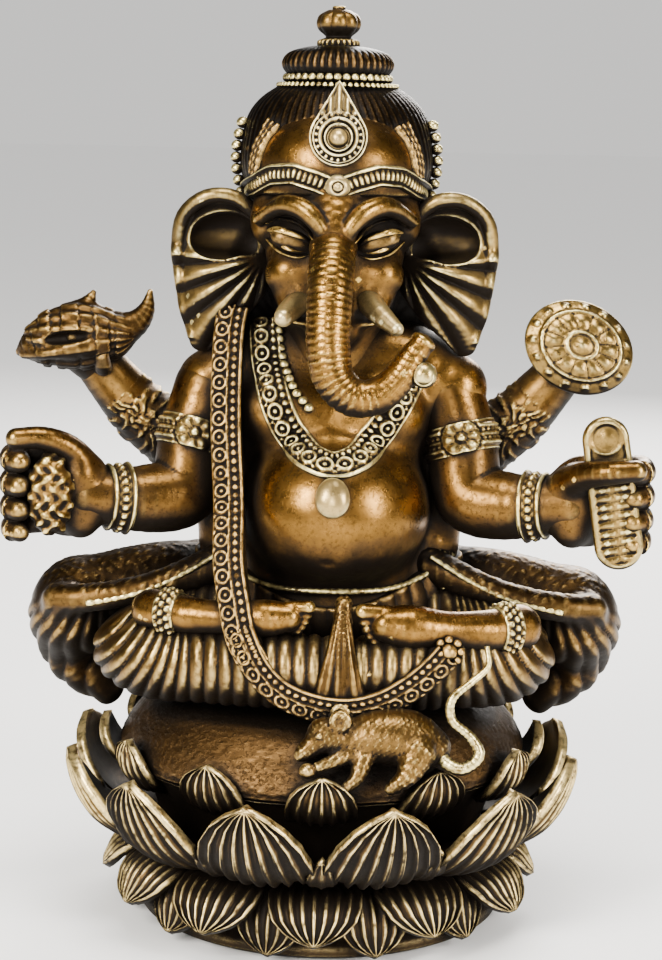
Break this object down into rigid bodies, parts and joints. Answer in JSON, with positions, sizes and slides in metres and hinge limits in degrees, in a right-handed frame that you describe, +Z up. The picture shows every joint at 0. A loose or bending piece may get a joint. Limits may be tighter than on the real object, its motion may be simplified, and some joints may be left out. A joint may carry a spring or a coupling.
{
  "type": "deity statue",
  "caption": "Seated four-armed elephant-headed deity statuette on a round lotus pedestal, for display on a shelf or altar.",
  "frame": {"origin": "centre of the flat resting face, the underside of the felt pad", "axes": "+Z up through the finial; the figure faces -Y, so its own right hand is on the -X side"},
  "size_m": [0.1782, 0.1446, 0.2546],
  "materials": {
    "antique_brass": "antiqued: golden brown on the raised parts, near-black patina in the recesses, satin",
    "dark_patina_brass": "dark brown-black patina, lightly rubbed on the high spots, satin",
    "steel": "zinc plated",
    "felt": "black wool felt"
  },
  "bodies": {
    "root": {"base_body": "dark_patina_brass", "bolster": "dark_patina_brass", "conch": "antique_brass", "crown_band": "antique_brass", "crown_beads": "antique_brass", "crown_cap": "dark_patina_brass", "crown_disc": "dark_patina_brass", "felt_pad": "felt", "finial": "antique_brass", "fixing_nut": "steel", "fixing_stud": "steel", "fixing_washer": "steel", "forehead_jewel": "antique_brass", "front_pleat": "antique_brass", "garland": "antique_brass", "head": "antique_brass", "headband": "antique_brass", "headband_bead": "antique_brass", "hem_beads": "antique_brass", "hip_belt": "antique_brass", "inner_necklace": "antique_brass", "inner_petals": "antique_brass", "joining_dowels": "steel", "left_anklet": "antique_brass", "left_armlet": "antique_brass", "left_bracelet": "antique_brass", "left_ear": "antique_brass", "left_foot": "antique_brass", "left_front_arm": "antique_brass", "left_front_hand": "antique_brass", "left_leg": "antique_brass", "left_rear_arm": "antique_brass", "left_rear_hand": "antique_brass", "left_tusk": "antique_brass", "lotus_disc": "antique_brass", "lower_petals": "antique_brass", "mouse": "antique_brass", "mouse_tail": "antique_brass", "necklace": "antique_brass", "outer_petals": "antique_brass", "palm_leaf": "antique_brass", "pendant": "antique_brass", "right_anklet": "antique_brass", "right_armlet": "antique_brass", "right_bracelet": "antique_brass", "right_ear": "antique_brass", "right_foot": "antique_brass", "right_front_arm": "antique_brass", "right_front_hand": "antique_brass", "right_leg": "antique_brass", "right_rear_arm": "antique_brass", "right_rear_hand": "antique_brass", "right_tusk": "antique_brass", "seat_cushion": "dark_patina_brass", "sweet_ball": "antique_brass", "torso": "antique_brass", "trunk": "antique_brass", "trunk_sweet": "antique_brass", "waist_ring": "antique_brass"}
  },
  "joints": []
}
